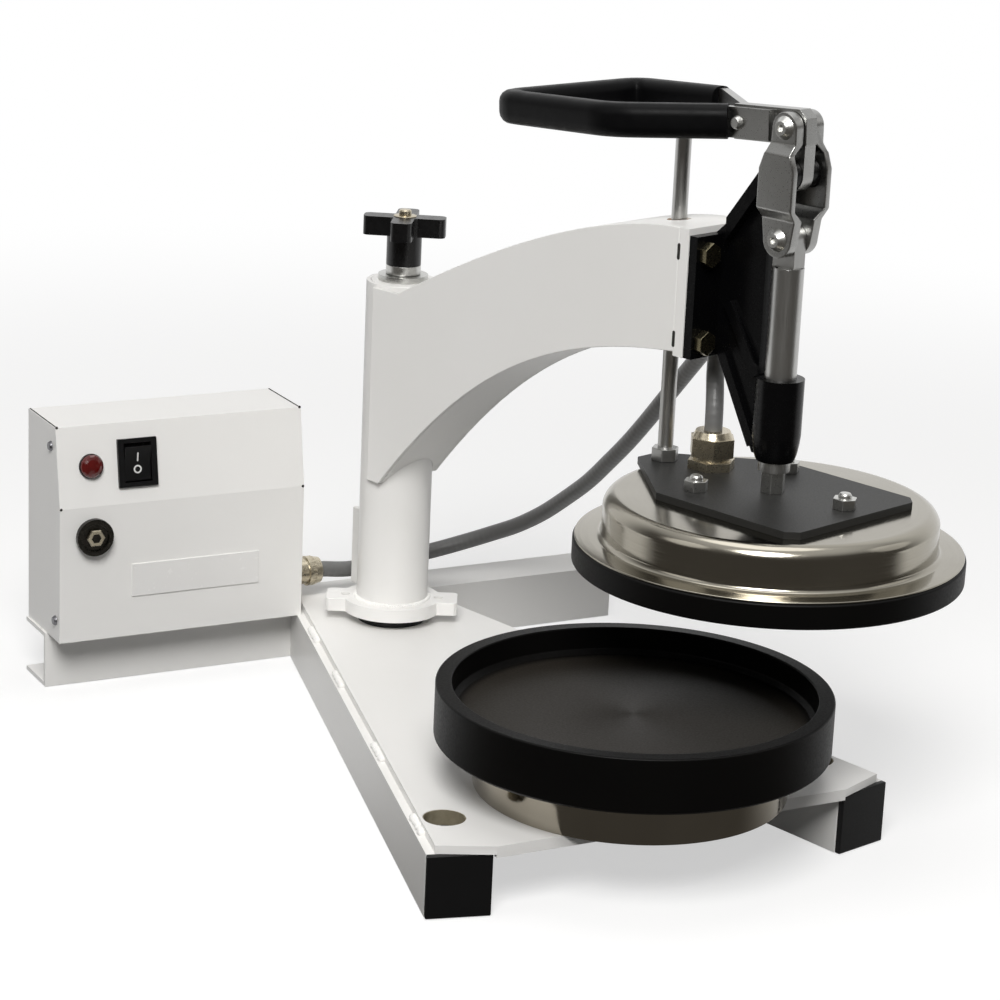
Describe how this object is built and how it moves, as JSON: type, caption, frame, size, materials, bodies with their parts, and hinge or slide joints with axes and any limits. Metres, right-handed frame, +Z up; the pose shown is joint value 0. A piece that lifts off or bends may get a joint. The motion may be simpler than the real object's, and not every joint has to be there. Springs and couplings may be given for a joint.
{
  "type": "pizza dough press",
  "caption": "Bench pizza dough press: a swinging arm carries a heated round platen on a toggle clamp with a loop handle, over a shallow round mould on a V-legged base with a control box.",
  "frame": {"origin": "on the bench, midway between the two bench bolt holes in the front legs", "axes": "+X to the operator's right, +Y to the rear towards the column, +Z up"},
  "size_m": [0.4372, 0.5438, 0.4378],
  "materials": {
    "white_paint": "satin powder coat",
    "black_paint": "satin black powder coat",
    "bright_steel": "zinc or nickel plated",
    "dark_steel": "plain turned steel",
    "yellow_zinc": "yellow passivated zinc",
    "bronze": "turned bronze",
    "stainless": "polished stainless sheet",
    "black_coat": "black non-stick coating on cast aluminium",
    "black_plastic": "moulded",
    "black_rubber": "moulded grip",
    "grey_plastic": "smooth conduit",
    "pale_plastic": "moulded",
    "red_lens": "unlit lens"
  },
  "bodies": {
    "base": {"base_plate": "white_paint", "left_leg": "white_paint", "right_leg": "white_paint", "leg_end_caps": "black_plastic", "rear_channel": "white_paint", "pivot_post": "dark_steel", "thrust_washer": "black_plastic", "pedestal_drum": "stainless", "lower_mould": "black_coat", "mould_spacer": "bright_steel", "mould_bolt": "bright_steel", "box_chassis": "white_paint", "box_cover": "white_paint", "box_left_side": "white_paint", "box_right_side": "white_paint", "box_fasteners": "bright_steel", "rocker_frame": "black_plastic", "lamp_bezel": "bright_steel", "lamp_lens": "red_lens", "fuse_body": "black_plastic", "badge_plate": "white_paint", "conduit_gland": "bright_steel", "gland_nut": "bright_steel", "terminal_block": "pale_plastic", "conduit_lower": "grey_plastic"},
    "arm": {"column_tube": "white_paint", "foot_flange": "white_paint", "rear_gusset": "white_paint", "tube_cap": "white_paint", "arm_bushes": "bronze", "near_arm_plate": "white_paint", "far_arm_plate": "white_paint", "arm_top_strip": "white_paint", "arm_bottom_strip": "white_paint", "arm_end_plate": "white_paint", "clamp_bracket": "black_paint", "bracket_bolts": "yellow_zinc", "handle_pin": "bright_steel", "knob_washer": "bright_steel", "conduit_upper": "grey_plastic"},
    "knob": {"clamp_knob": "black_plastic", "knob_collar": "bright_steel"},
    "handle": {"handle_plate": "bright_steel", "handle_core": "bright_steel", "handle_grip": "black_rubber", "handle_screws": "bright_steel"},
    "links": {"near_link": "bright_steel", "far_link": "bright_steel", "link_screws": "bright_steel"},
    "platen": {"plunger": "bright_steel", "adjusting_bolt": "bright_steel", "mounting_plate": "black_paint", "platen_studs": "bright_steel", "platen_cover": "stainless", "heater_ring": "dark_steel", "upper_die": "black_coat", "guide_rod": "bright_steel", "platen_connector": "bright_steel"},
    "rocker": {"rocker_paddle": "black_plastic"},
    "screw_cap": {"fuse_cap": "bright_steel"}
  },
  "joints": [
    {"name": "arm_swing", "type": "hinge", "parent": "base", "child": "arm", "pos_m": [0, 0.3315, 0], "axis": [0, 0, 1], "range_deg": [-17, 30], "deforming": ["conduit_lower"]},
    {"name": "handle_throw", "type": "hinge", "parent": "arm", "child": "handle", "pos_m": [0.09517, 0.02022, 0.3997], "axis": [0.9563, 0.2924, 0], "range_deg": [0, 180]},
    {"name": "link_turn", "type": "hinge", "parent": "handle", "child": "links", "pos_m": [0.09517, 0.02022, 0.4272], "axis": [0.9563, 0.2924, 0], "range_deg": [-180.5, 0.5]},
    {"name": "platen_slide", "type": "slide", "parent": "arm", "child": "platen", "axis": [0, 0, -1], "range_m": [0, 0.0551], "deforming": ["conduit_upper"]},
    {"name": "knob_turn", "type": "hinge", "parent": "base", "child": "knob", "pos_m": [0, 0.3315, 0.29], "axis": [0, 0, 1], "range_deg": [0, 180]},
    {"name": "rocker_switch", "type": "hinge", "parent": "base", "child": "rocker", "pos_m": [-0.1684, 0.37846, 0.156], "axis": [1, 0, 0], "range_deg": [-16, 0]},
    {"name": "screw_cap_turn", "type": "hinge", "parent": "base", "child": "screw_cap", "pos_m": [-0.2004, 0.371, 0.1105], "axis": [0, 1, 0], "range_deg": [0, 90]}
  ],
  "couplings": [
    {"joint": "link_turn", "follows": "handle_throw", "ratio": -1},
    {"joint": "platen_slide", "follows": "handle_throw", "m_per_rad": 0.0175}
  ]
}
